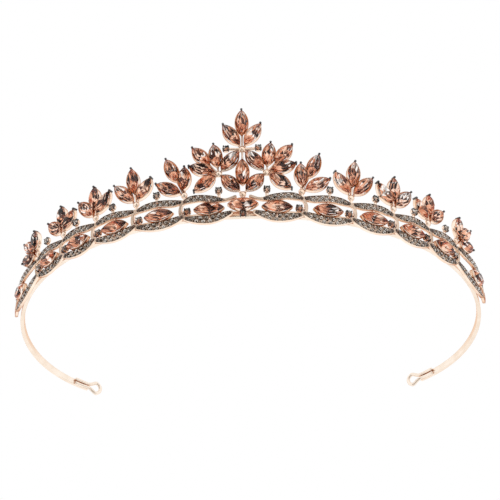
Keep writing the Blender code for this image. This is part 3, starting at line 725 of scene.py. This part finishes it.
STEM_HALF_WIDTH = 0.45 * MM
STEM_LOW = 0.1 * MM
STEM_RISE = 0.65 * MM
STEM_FLARE = 0.35               # how much wider, as a share, a stem is at its ends than in its middle
STEM_SPANS = 6
# A stem's section: (share of its half width, share of its rise).
STEM_PROFILE = [(-1, 0.35), (-0.75, 0.0), (0.75, 0.0), (1, 0.35), (0.85, 0.8), (0.4, 1.0), (-0.4, 1.0),
                (-0.85, 0.8)]


def stem(shells, start, end):
    """A bar between two (along, height) points, a little wider at both ends."""
    run = Vector((end[0] - start[0], end[1] - start[1]))
    side = Vector((-run.y, run.x)).normalized() * STEM_HALF_WIDTH
    rings = []
    for step in range(STEM_SPANS + 1):
        share = step / STEM_SPANS
        swell = 1 + STEM_FLARE * (2 * share - 1) ** 2
        along = start[0] + run.x * share
        height = start[1] + run.y * share
        rings.append([HOOP.place(along + side.x * across * swell, height + side.y * across * swell,
                                 STEM_LOW + STEM_RISE * rise) for across, rise in STEM_PROFILE])
    shells.loft(rings)


# Turned shapes in millimetres: (radius, level).
HUB_ROWS = [(0.7, 0.02), (0.95, 0.1), (1.02, 0.35), (1.0, 0.62), (0.85, 0.85), (0.55, 1.0), (0.25, 1.06),
            (0.08, 1.07)]
CUP_ROWS = [(0.8, 0.02), (1.05, 0.1), (1.12, 0.35), (1.05, 0.6), (1.12, 0.95), (1.10, 1.02), (0.98, 1.02),
            (0.92, 0.9), (0.5, 0.55), (0.1, 0.5)]
DOME_SIDES = 20


def dome(shells, spot, rows):
    """A turned shape from (radius, level) rows in millimetres."""
    shells.loft([[spot.point(x, y, level * MM) for x, y in circle(radius * MM, DOME_SIDES)]
                 for radius, level in rows])


ROUND_RADIUS = 1.05 * MM
ROUND_LEVELS = (1.65 * MM, 1.15 * MM, 0.35 * MM)
ROUND_SIDES = 8
# A cup's prong in millimetres: (distance from the cup's middle, level, radius).
CUP_PRONG_ROWS = [(1.12, 0.5, 0.16), (1.12, 1.1, 0.17), (1.02, 1.35, 0.22), (0.96, 1.52, 0.22),
                  (0.94, 1.62, 0.12)]
CUP_PRONGS = 4
CUP_PRONG_SIDES = 7


def round_setting(metal, prongs, stones, spot):
    """A small round crystal in a cup with four prongs."""
    dome(metal, spot, CUP_ROWS)
    round_stone(stones, spot, ROUND_RADIUS, ROUND_LEVELS, ROUND_SIDES)
    for aim in circle(1.0, CUP_PRONGS, math.pi / CUP_PRONGS):
        prong(prongs, spot, CUP_PRONG_ROWS, CUP_PRONG_SIDES, 0.0, aim)


def smooth_path(points, per_span):
    """A Catmull-Rom curve through (along, height, size) points."""
    padded = [points[0]] + list(points) + [points[-1]]
    path = []
    for index in range(1, len(padded) - 2):
        before, start, end, after = padded[index - 1:index + 3]
        for step in range(per_span):
            t = step / per_span
            path.append(tuple(
                0.5 * (2 * q + (r - p) * t + (2 * p - 5 * q + 4 * r - s) * t ** 2
                       + (3 * q - p - 3 * r + s) * t ** 3)
                for p, q, r, s in zip(before, start, end, after)))
    path.append(tuple(points[-1]))
    return path


def neighbours(items, index):
    """The items before and after one, or the item itself at an end."""
    return items[max(index - 1, 0)], items[min(index + 1, len(items) - 1)]


# The bed's faces take the darker metal, which is painted shade between the pave stones.
BED_SLOT = 1
BED_CORNERS = (6, 7, 8)         # the section's runs between its two rails
RIBBON_STEPS = 8
END_TAPER = (0.55, 0.86)        # how a ribbon's half width shrinks on its last two rings
BACK_SHARE = 0.85               # the back is narrower than the front
BACK_ROUNDING = 0.15 * MM
RAIL = 0.14 * MM                # a rail's width, and the height of its rounded outer edge
RAIL_ROUNDING = 0.02 * MM
BED_EDGE = (0.05 * MM, 0.04 * MM)       # how far in and down a rail's inner edge is cut
BED_DEPTH = 0.32 * MM
PLAIN_RISE = 0.02 * MM          # an unset ribbon swells a little between its edges

PAVE_RADIUS = 0.62 * MM
PAVE_LEVELS = (1.12 * MM, 0.95 * MM, 0.6 * MM)
PAVE_SIDES = 6
STONE_PITCH = 0.98 * MM         # along the ribbon, between stones of the two staggered rows
STONE_MIN_WIDTH = 1.35 * MM
GRAIN_REACHES = (0.15, 0.85)    # beside each stone, as shares of its radius in from the far rail


def ribbon_section(half, thickness, depth):
    """A ribbon's section as (across, out): two rails with a bed between them, that lies depth below."""
    right = [(BACK_SHARE * half, 0.0), (half, BACK_ROUNDING), (half, thickness - RAIL),
             (half - RAIL / 2, thickness - RAIL_ROUNDING), (half - RAIL, thickness),
             (half - RAIL, thickness - BED_EDGE[1]), (half - RAIL - BED_EDGE[0], thickness - depth)]
    left = [(-across, out) for across, out in right]
    return left[:1] + right + left[:0:-1]


def ribbon(metal, stones, side, points, thickness=RIBBON_THICKNESS, set_stones=True):
    """A ribbon with raised rails and, where it is wide enough, small stones between them."""
    path = smooth_path(points, RIBBON_STEPS)
    rings = []
    frames = []
    for index, (along, height, width) in enumerate(path):
        before, after = neighbours(path, index)
        run = Vector((after[0] - before[0], after[1] - before[1])).normalized()
        across = Vector((-run.y, run.x))
        share = min(max((width - NARROW) / (WIDE - NARROW), 0.0), 1.0)
        depth = BED_DEPTH * share if set_stones else -PLAIN_RISE
        half = width / 2
        end = min(index, len(path) - 1 - index)
        if end < len(END_TAPER):
            half *= END_TAPER[end]
        rings.append([HOOP.place(side * (along + across.x * offset), height + across.y * offset, out)
                      for offset, out in ribbon_section(half, thickness, depth)])
        frames.append((Vector((along, height)), across, width))
    metal.loft(rings)
    if not set_stones:
        return
    size = len(rings[0])
    first_face = len(metal.faces) - (len(rings) - 1) * size - 2
    for span in range(len(rings) - 1):
        for corner in BED_CORNERS:
            metal.slots[first_face + span * size + corner] = BED_SLOT
    set_pave(metal, stones, side, frames)


def set_pave(metal, stones, side, frames):
    """Two staggered rows of small stones along a ribbon, with two metal grains beside each stone."""
    travelled = [0.0]
    for (here, _, _), (after, _, _) in zip(frames, frames[1:]):
        travelled.append(travelled[-1] + (after - here).length)
    inside = [distance for distance, (_, _, width) in zip(travelled, frames) if width > STONE_MIN_WIDTH]
    first, last = inside[0], inside[-1]
    count = int((last - first) / STONE_PITCH) + 1
    offset = (last - first - (count - 1) * STONE_PITCH) / 2
    for number in range(count):
        distance = first + offset + number * STONE_PITCH
        index = max(i for i, value in enumerate(travelled) if value <= max(distance, 0.0))
        index = min(index, len(frames) - 2)
        share = (distance - travelled[index]) / (travelled[index + 1] - travelled[index])
        centre = frames[index][0].lerp(frames[index + 1][0], share)
        across, width = frames[index][1], frames[index][2]
        edge = 1 if number % 2 else -1
        spread = width / 2 - RAIL - PAVE_RADIUS
        place = centre + across * edge * max(spread, 0.0)
        spot = Spot(side * place.x, place.y, random.uniform(0, math.pi / 3))
        round_stone(stones, spot, PAVE_RADIUS, PAVE_LEVELS, PAVE_SIDES, PAVE_TONES)
        for reach in GRAIN_REACHES:
            place = centre - across * edge * (width / 2 - RAIL - PAVE_RADIUS * reach)
            grain(metal, HOOP.place(side * place.x, place.y, PAVE_LEVELS[1]))


# ---- wings and crest

random.seed(7)

# The bar from a hub to a seat, in millimetres but for the first: (share of the way, half width, height).
STALK_ROWS = [(0.0, 0.42, 0.6), (0.5, 0.26, 0.62), (1.0, 0.34, 0.75), (1.25, 0.25, 0.7)]
STALK_BACK = 0.08 * MM
STALK_SHOULDER = 0.75           # height of the bar's upright sides, as a share of its whole height
STALK_RIDGE = 0.5               # width of its top, as a share of its whole width

RIBBON_GRIP = 0.1 * MM          # how far a cell's upper stem runs into the ribbon
CUP_STEM = 1.1 * MM             # from a station to the far end of the cup's stem
ROUND_STEM = (9.2 * MM, 0.6 * MM)       # height of its foot, and how far below the crystal it ends
LOW_ROUND_STEM = (8.2 * MM, 0.4 * MM)


def petal_metal(metal, prongs, spot, length, start, claws=True):
    """The seat of a petal crystal, the bar that holds it to its hub, and its claw."""
    seat(metal, spot, length)
    near = -length / 2 - start
    rings = []
    for share, half_width, height in STALK_ROWS:
        x = near + start * share
        half = half_width * MM
        top = height * MM
        section = [(-half, STALK_BACK), (half, STALK_BACK), (half, top * STALK_SHOULDER),
                   (half * STALK_RIDGE, top), (-half * STALK_RIDGE, top), (-half, top * STALK_SHOULDER)]
        rings.append([spot.point(x, y, level) for y, level in section])
    metal.loft(rings)
    if claws:
        prong(prongs, spot, CLAW_ROWS, CLAW_SIDES, length / 2)


def build_wing(side, word):
    """One wing's ribbons, seats, stems, prongs, pave stones and small round crystals."""
    metal, prongs, stones, rounds = Shells(), Shells(), Shells(), Shells()
    ribbons = [lower_ribbon(FIRST_CELL_START, STATIONS[0]), first_upper_ribbon()]
    for start, end in zip(STATIONS, STATIONS[1:]):
        ribbons += [lower_ribbon(start, end), upper_ribbon(start, end)]
    ribbons += [lower_ribbon(STATIONS[-1], WING_END), last_upper_ribbon()]
    for points in ribbons:
        ribbon(metal, stones, side, points)
    ribbon(metal, stones, side, tail_ribbon(), TAIL_THICKNESS, False)
    for spot in cell_spots(side):
        seat(metal, spot)
    for middle in cell_middles():
        stem(metal, (side * middle, CELL_HEIGHT + SEAT_EDGE), (side * middle, UPPER_RIBBON + RIBBON_GRIP))
        stem(metal, (side * middle, SCALLOP_HEIGHT / 2), (side * middle, CELL_HEIGHT - SEAT_EDGE))
    for number, station in enumerate(STATIONS, 1):
        dome(metal, Spot(side * station, CLUSTER_HEIGHT), HUB_ROWS)
        stem(metal, (side * station, UPPER_RIBBON), (side * station, CLUSTER_HEIGHT))
        for spot, length, start in cluster_spots(side, number):
            petal_metal(metal, prongs, spot, length, start)
        cup = (side * (station - CELL_CUP_BACK), CELL_CUP_HEIGHT)
        round_setting(metal, prongs, rounds, Spot(*cup))
        stem(metal, cup, (side * (station + CUP_STEM), CELL_CUP_HEIGHT))
    standing = [(middle, ROUND_HEIGHT, ROUND_STEM) for middle in round_middles()]
    for along, height, (foot, gap) in standing + [(*LOW_ROUND, LOW_ROUND_STEM)]:
        round_setting(metal, prongs, rounds, Spot(side * along, height))
        stem(metal, (side * along, foot), (side * along, height - gap))
    node = "wing_frame_" + word
    finish_piece(metal, "wing_metal_" + word, [CASTING, BED], node)
    finish_piece(prongs, "wing_prongs_" + word, [PRONG], node)
    finish_piece(stones, "wing_pave_" + word, [CLEAR, CLEAR_FOIL], node)
    finish_piece(rounds, "wing_rounds_" + word, [CLEAR, CLEAR_FOIL], node)


def build_crest():
    """The crest's hubs, seats, stems, prongs and small round crystals."""
    metal, prongs, rounds = Shells(), Shells(), Shells()
    for height in (CREST_TOP_HUB, CREST_BOTTOM_HUB):
        dome(metal, Spot(0.0, height), HUB_ROWS)
    stem(metal, (0.0, CREST_BOTTOM_HUB), (0.0, CENTRE_CELL_HEIGHT + SEAT_EDGE))
    seat(metal, centre_cell_spot())
    round_setting(metal, prongs, rounds, Spot(0.0, CENTRE_CUP_HEIGHT))
    stem(metal, (0.0, CENTRE_CUP_HEIGHT), (0.0, CENTRE_CELL_HEIGHT - SEAT_EDGE))
    for name, spot, length, start in centre_petals():
        petal_metal(metal, prongs, spot, length, start, name == "top_centre")
    for side in (-1, 1):
        dome(metal, Spot(side * CREST_SIDE_HUB_ALONG, CREST_SIDE_HUB_HEIGHT), HUB_ROWS)
        cup = (side * CREST_CUP[0], CREST_CUP[1])
        round_setting(metal, prongs, rounds, Spot(*cup))
        stem(metal, (0.0, CREST_TOP_HUB), cup)
        for name, spot, length, start in crest_petals(side):
            inner = name.endswith("inner")
            petal_metal(metal, prongs, spot, length, start, not inner)
            if inner:
                # This crystal links two hubs, so a second bar runs from its far tip.
                spot.x, spot.y = -spot.x, -spot.y
                petal_metal(metal, prongs, spot, length, start, False)
    finish_piece(metal, "crest_metal", [CASTING], "crest_frame")
    finish_piece(prongs, "crest_prongs", [PRONG], "crest_frame")
    finish_piece(rounds, "crest_rounds", [CLEAR, CLEAR_FOIL], "crest_frame")


def build_crystals():
    """Every marquise crystal. The joined clusters' crystals stand for one CAD node per cluster."""
    for name, spot, length, start in centre_petals():
        marquise_piece("gem_" + name, spot, length, "crystal_" + name)
    marquise_piece("gem_cell_centre", centre_cell_spot(), CRYSTAL_LENGTH, "crystal_cell_centre")
    for side, word in ((-1, "left"), (1, "right")):
        for name, spot, length, start in crest_petals(side):
            ending = f"crest_{name}_{word}"
            marquise_piece("gem_" + ending, spot, length, "crystal_" + ending)
        for index, spot in enumerate(cell_spots(side), 1):
            ending = f"cell_{index}_{word}"
            marquise_piece("gem_" + ending, spot, CRYSTAL_LENGTH, "crystal_" + ending)
        for number in CLUSTER_PETALS:
            for petal, (spot, length, start) in zip(PETAL_NAMES, cluster_spots(side, number)):
                node = f"crystal_cluster_{number}_{petal}_{word}"
                if number in JOINED_CLUSTERS:
                    node = f"crystals_cluster_{number}_{word}"
                marquise_piece(f"gem_cluster_{number}_{petal}_{word}", spot, length, node)


# ---- headband

BEND_REACH = 11.0 * MM          # how far the strip's bend spreads to each side of the arm's joint
BEND_START = ARM_JOINT - BEND_REACH
BEND_END = ARM_JOINT + BEND_REACH
BAND_BACK = -FIT_GAP - BAND_THICKNESS
BAND_MIDDLE = BAND_LIFT + BAND_HEIGHT / 2
BAND_EDGE = 0.12 * MM
BAND_FILLET = 0.25 * MM
BAND_SPANS = 100


def build_band(side, word):
    """Half of the sprung strip, lofted round the hoop."""
    shells = Shells()
    corner = [(0.0, BAND_FILLET), (BAND_EDGE * 0.4, BAND_EDGE * 0.5), (BAND_EDGE, 0.0)]
    lower = [(BAND_BACK + x, y) for x, y in corner] + [(-FIT_GAP - x, y) for x, y in reversed(corner)]
    profile = lower + [(out, BAND_HEIGHT - height) for out, height in reversed(lower)]
    rings = []
    for index in range(BAND_SPANS + 1):
        along = side * BAND_HALF_LENGTH * index / BAND_SPANS
        rings.append([HOOP.place(along, BAND_LIFT + height, out, 0.0) for out, height in profile])
    shells.loft(rings)
    item = shells.object("headband_" + word, [STRIP])
    start = HOOP.place(side * BEND_START, BAND_MIDDLE, BAND_BACK, 0.0)
    end = HOOP.place(side * BEND_END, BAND_MIDDLE, BAND_BACK, 0.0)
    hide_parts("headband_front", "headband_arm_" + word)
    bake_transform(item)


WIRE_STAND = 0.9                # the wire's middle stands this share of its radius off the strip
# A leg's points: (distance back from the strip's end as a share of the leg, share of the wire's radius).
LEG_ROWS = [(1.0, 0.35), (0.97, 0.8), (0.9, 1.0), (0.5, 1.0), (0.0, 1.0)]
LOOP_TURNS = 8
LOOP_STEPS = 5
WIRE_SIDES = 14


def build_loop(side, word):
    """A teardrop of round wire, its two legs soldered on the strip's inner face."""
    shells = Shells()
    leg_height = BAND_MIDDLE + LOOP_HALF_WIDTH * LOOP_LEG_SHARE
    level = BAND_BACK - WIRE_RADIUS * WIRE_STAND
    centre = BAND_HALF_LENGTH + LOOP_REACH - LOOP_HALF_WIDTH
    half = [(BAND_HALF_LENGTH - LOOP_LEG * back, leg_height, size) for back, size in LEG_ROWS]
    for index in range(LOOP_TURNS // 2 + 1):
        angle = math.pi / 2 - math.pi * index / LOOP_TURNS
        along = centre + LOOP_HALF_WIDTH * math.cos(angle)
        half.append((along, BAND_MIDDLE + LOOP_HALF_WIDTH * math.sin(angle), 1.0))
    other = [(along, 2 * BAND_MIDDLE - height, size) for along, height, size in reversed(half[:-1])]
    path = smooth_path(half + other, LOOP_STEPS)
    centres = [HOOP.place(side * along, height, level, 0.0) for along, height, _ in path]
    rings = []
    for index, (along, height, size) in enumerate(path):
        before, after = neighbours(centres, index)
        run = (after - before).normalized()
        outward = HOOP.axes(side * along, 0.0)[2]
        first = run.cross(outward).normalized()
        second = run.cross(first)
        rings.append([centres[index] + first * x + second * y
                      for x, y in circle(WIRE_RADIUS * size, WIRE_SIDES)])
    shells.loft(rings)
    finish_piece(shells, "loop_" + word, [STRIP], "end_loop_" + word, "arm_" + word)


# ---- studio

CAMERA_ELEVATION = math.radians(39.0)   # the camera looks up from below the band
CAMERA_DISTANCE = 346.9 * MM
CAMERA_YAW = math.radians(1.48)
CAMERA_ROLL = math.radians(-0.83)
CAMERA_LENS = 68.67                     # on the default 36 mm sensor
CAMERA_SIDE = -0.39 * MM
CAMERA_RISE = 43.32 * MM
CAMERA_AIM = Vector((0.0, 41.465, 3.7)) * MM
FLOOR_HALF = 1.5
FLOOR_DROP = 0.02 * MM                  # keeps the floor just clear of the lowest scallops


def build_camera():
    """The camera sits in front and below, turned a little by its yaw and roll."""
    sine, cosine = math.sin(CAMERA_ELEVATION), math.cos(CAMERA_ELEVATION)
    right = Vector((1, 0, 0))
    up = Vector((0, -sine, cosine))
    ahead = Vector((0, cosine, sine))
    place = right * CAMERA_SIDE + up * CAMERA_RISE - ahead * CAMERA_DISTANCE
    turn = Matrix.Rotation(CAMERA_YAW, 3, "Z")
    rolled_right = right * math.cos(CAMERA_ROLL) + up * math.sin(CAMERA_ROLL)
    rolled_up = up * math.cos(CAMERA_ROLL) - right * math.sin(CAMERA_ROLL)
    axes = Matrix((turn @ rolled_right, turn @ rolled_up, turn @ -ahead)).transposed()
    data = bpy.data.cameras.new("camera")
    data.lens = CAMERA_LENS
    data.clip_start = 0.01
    data.clip_end = 10.0
    camera = new_object("camera", data)
    camera.matrix_world = Matrix.Translation(turn @ place + CAMERA_AIM) @ axes.to_4x4()
    bpy.context.scene.camera = camera


def build_floor():
    """A pale floor that shows from above only, so that the view from under the band stays white."""
    mesh = bpy.data.meshes.new("floor")
    corners = [(x * FLOOR_HALF, y * FLOOR_HALF, 0) for x, y in ((-1, -1), (1, -1), (1, 1), (-1, 1))]
    mesh.from_pydata(corners, [], [(0, 1, 2, 3)])
    floor = new_object("floor", mesh)
    floor.location.z = -FLOOR_DROP
    material, nodes, shader = new_material("floor")
    cloud = nodes.noise(40.0, 4.0)
    tint = nodes.ramp(cloud.outputs["Fac"], [(0.3, (0.80, 0.79, 0.78)), (0.7, (0.84, 0.83, 0.82))])
    nodes.link(tint, shader, "Base Color")
    shader.inputs["Roughness"].default_value = 0.6
    clear = nodes.add("BsdfTransparent")
    under = nodes.add("NewGeometry").outputs["Backfacing"]
    mix = nodes.add("MixShader", {0: under, 1: shader.outputs[0], 2: clear.outputs[0]})
    nodes.link(mix.outputs[0], nodes.tree.nodes["Material Output"], "Surface")
    mesh.materials.append(material)
    # Only the camera sees the floor, so it adds no tint to the metal and the crystals.
    floor.visible_diffuse = False
    floor.visible_glossy = False
    floor.visible_transmission = False
    floor.visible_shadow = False


def build_world():
    """A bright white room with dark cards, which only reflections and refractions see."""
    world = bpy.data.worlds.new("studio")
    bpy.context.scene.world = world
    nodes = Nodes(world)
    background = nodes.tree.nodes["Background"]
    aim = nodes.add("TexCoord").outputs["Generated"]
    patches = nodes.add("TexNoise", {"Vector": aim, "Scale": 2.2, "Detail": 0.5})
    toward = Vector((0.0, -math.cos(CAMERA_ELEVATION), -math.sin(CAMERA_ELEVATION)))
    facing = nodes.add("VectorMath", {0: aim, 1: toward}, operation="DOT_PRODUCT")
    behind = nodes.remap(facing.outputs["Value"], 0.3, 0.0, 0.0, 0.4)
    room = nodes.ramp(nodes.math("ADD", patches.outputs["Fac"], behind), [
        (0.38, (0.16, 0.10, 0.07)), (0.45, (0.97, 0.95, 0.93)), (0.6, (1.12, 1.12, 1.12))])
    card = nodes.remap(facing.outputs["Value"], 1.0, 0.35, 0.93, 0.985)
    dark = nodes.mix(1.0, room, card, "MULTIPLY")
    path = nodes.add("LightPath")
    plain = nodes.math("MAXIMUM", path.outputs["Is Camera Ray"], path.outputs["Is Diffuse Ray"])
    nodes.link(nodes.mix(plain, dark, (1.0, 1.0, 1.0, 1.0)), background, "Color")


def build_studio():
    scene = bpy.context.scene
    scene.view_settings.view_transform = "Standard"
    scene.cycles.max_bounces = 16
    scene.cycles.transmission_bounces = 12
    scene.cycles.glossy_bounces = 10
    build_world()
    build_floor()
    build_camera()


build_crystals()
build_crest()
for side, word in ((-1, "left"), (1, "right")):
    build_wing(side, word)
    build_band(side, word)
    build_loop(side, word)
build_studio()
